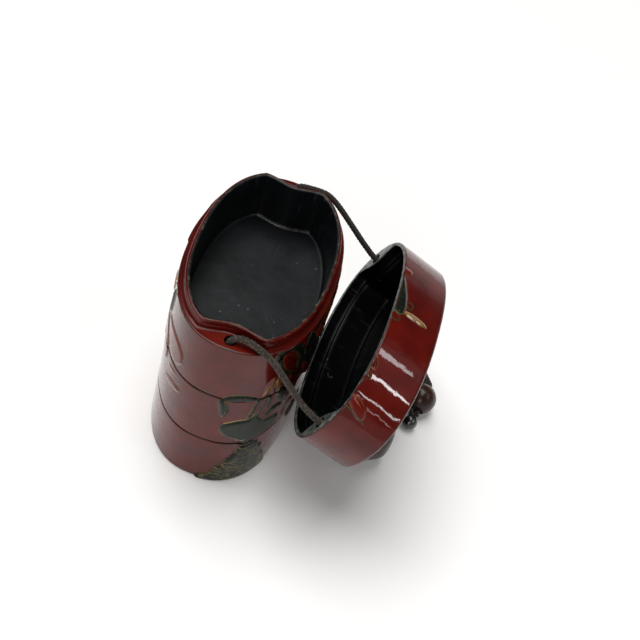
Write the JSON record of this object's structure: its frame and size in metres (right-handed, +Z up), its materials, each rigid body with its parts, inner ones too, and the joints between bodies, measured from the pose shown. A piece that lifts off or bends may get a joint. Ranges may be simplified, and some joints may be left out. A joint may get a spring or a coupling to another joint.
{
  "type": "inro case",
  "caption": "Oval lacquered case of stacked tiers with its lid tipped beside it, raised flowers and leaves, and a cord with its bead, knot and toggle.",
  "frame": {"origin": "on the standing surface, under the middle of the case, the lid and the toggle together", "axes": "+Z up, +Y along the case's long side, +X from the case towards the lifted-off lid"},
  "size_m": [0.0699, 0.0599, 0.0535],
  "materials": {
    "red_lacquer": "gloss lacquer",
    "toggle_wood": "polished",
    "bead_wood": "polished",
    "cord_braid": "matt"
  },
  "bodies": {
    "root": {"tier_bottom": "red_lacquer", "tier_middle": "red_lacquer", "tier_top": "red_lacquer", "lid": "red_lacquer", "netsuke": "toggle_wood", "ojime_bead": "bead_wood", "cord_knot": "cord_braid", "cord": "cord_braid", "cord_end": "cord_braid"}
  },
  "joints": []
}
